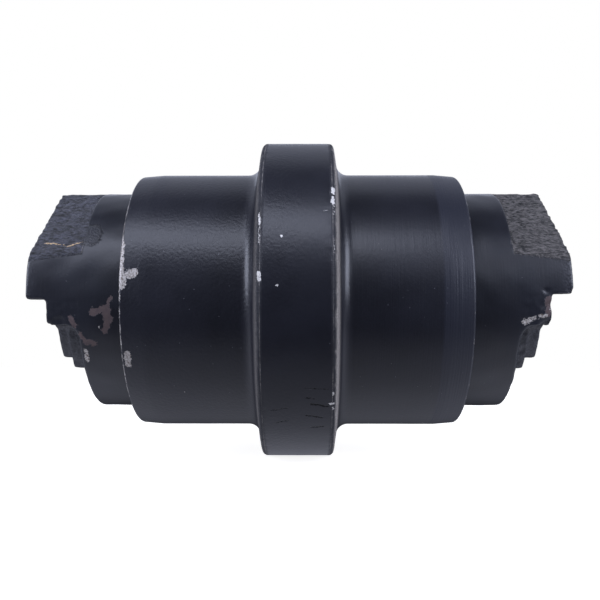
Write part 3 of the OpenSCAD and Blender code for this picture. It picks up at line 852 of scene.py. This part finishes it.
stageLook = {
    "floorZ": -0.0763, "radius": 3.0, "glow": 0.88, "paper": "#ebe7df",
    "darkPaper": "#e6e2da", "fibre": 0.6, "fadeFrom": 0.18, "fadeTo": 0.60,
    # what the roller sees of the paper, a painted reflection that glows though it is no lamp: its glow
    # near and far in front, a painted shadow under it, and brighter beside it
    "nearGlow": 0.78, "farGlow": 0.05, "nearAt": 0.035, "farAt": 0.17,
    "underPaintedShadow": 0.08, "underFrom": -0.020, "underTo": 0.040,
    "besideGlow": 1.6, "besideFrom": 0.06, "besideTo": 0.15,
    "room": 0.06, "paintedReflectionColour": (0.81, 0.84, 1.0, 1.0), "roomColour": (0.84, 0.88, 1.0, 1.0),
    "lightColour": (0.76, 0.81, 1.0),
}
# each light: place, width, height, radiance
lights = {
    "key": ((0.453, -0.17, 0.623), 0.76, 0.29, 4.9),
    "rightFront": ((0.620, 0.440, 0.440), 0.62, 0.26, 1.1),
    "leftPanel": ((0.410, -0.735, 0.330), 0.42, 0.56, 8.8),
    "rightPanel": ((0.420, 0.725, 0.340), 0.42, 0.56, 8.5),
    "back": ((-0.95, 0.0, 0.22), 1.60, 0.55, 0.95),
    "above": ((-0.64, 0.0, 0.64), 1.80, 1.00, 0.60),
}


def makeFloor():
    # rings of growing radius about Z: x = r cos t, y = r sin t
    ring = np.linspace(0, 2 * math.pi, 96, endpoint=False)
    radii = np.array([0.0001, 0.2, 0.6, 1.4, stageLook["radius"]])
    p = np.stack([radii[:, None] * np.cos(ring), radii[:, None] * np.sin(ring),
                  np.full((len(radii), len(ring)), stageLook["floorZ"])], -1)
    return meshFromGrid("floor", p, closedU=False)


def paperMaterial():
    # the camera sees paper lit from above and glowing to white; the roller sees a painted glow instead,
    # darker far away and with a painted shadow under itself
    look = stageLook
    material, tree = newMaterial("palePaper")
    where = addNode(tree, "TexCoord", out="Object")
    far = addNode(tree, "VectorMath", (where,), out=1, operation="LENGTH")
    fade = addNode(tree, "MapRange", (far, look["fadeFrom"], look["fadeTo"]),
                   interpolation_type="SMOOTHSTEP")
    fibre = addNode(tree, "TexNoise", {"Vector": where, "Scale": 1000.0 / look["fibre"], "Detail": 3.0})
    tone = addNode(tree, "Mix", {0: fibre, 6: srgb(look["darkPaper"]), 7: srgb(look["paper"])}, out=2,
                   data_type="RGBA")
    paper = addNode(tree, "BsdfDiffuse", {"Color": tone})
    glow = addNode(tree, "Emission", {"Strength": look["glow"]})
    near = addNode(tree, "AddShader", (paper, glow))
    white = addNode(tree, "Emission", {"Strength": 1.0})
    seen = addNode(tree, "MixShader", (fade, near, white))
    # painted reflection: the glow the roller sees fades to a painted dark a little way in front of it,
    # is dimmed under it as a painted shadow of the roller, and is brighter beside it
    places = addNode(tree, "SeparateXYZ", (where,)).node.outputs
    strength = addNode(tree, "MapRange", (places["X"], look["nearAt"], look["farAt"], look["nearGlow"],
                                          look["farGlow"]))
    beside = addNode(tree, "Math", (places["Y"],), operation="ABSOLUTE")
    beside = addNode(tree, "MapRange", (beside, look["besideFrom"], look["besideTo"], 1.0,
                                        look["besideGlow"]))
    under = addNode(tree, "MapRange", (places["X"], look["underFrom"], look["underTo"],
                                       look["underPaintedShadow"], 1.0))
    for part in (beside, under):
        strength = addNode(tree, "Math", (strength, part), operation="MULTIPLY")
    # painted light: the roller's reflections see this glow, which is no lamp
    paintedReflectionGlow = addNode(tree, "Emission", {"Color": look["paintedReflectionColour"], "Strength": strength})
    fromCamera = addNode(tree, "LightPath", out="Is Camera Ray")
    both = addNode(tree, "MixShader", (fromCamera, paintedReflectionGlow, seen))
    addNode(tree, "OutputMaterial", {"Surface": both})
    return material


floor = makeFloor()
paint(floor, paperMaterial())


def softbox(name, place, width, height, radiance):
    # power of a flat light: radiance times pi times its area
    data = bpy.data.lights.new(name, "AREA")
    data.shape = "RECTANGLE"
    data.size, data.size_y = width, height
    data.energy = radiance * math.pi * width * height
    data.color = stageLook["lightColour"]
    obj = bpy.data.objects.new(name, data)
    obj.location = place
    obj.rotation_euler = (-Vector(place)).to_track_quat("-Z", "Y").to_euler()
    obj.visible_camera = False
    scene.collection.objects.link(obj)


for name, settings in lights.items():
    softbox(name, *settings)

world = bpy.data.worlds.new("studio")
world.use_nodes = True
worldTree = world.node_tree
worldTree.nodes.clear()
room = addNode(worldTree, "Background", {"Color": stageLook["roomColour"],
                                         "Strength": stageLook["room"]})
white = addNode(worldTree, "Background", {"Color": (1.0, 1.0, 1.0, 1.0), "Strength": 1.0})
fromCamera = addNode(worldTree, "LightPath", out="Is Camera Ray")
mixed = addNode(worldTree, "MixShader", (fromCamera, room, white))
addNode(worldTree, "OutputWorld", {"Surface": mixed})
scene.world = world
print("stage done")
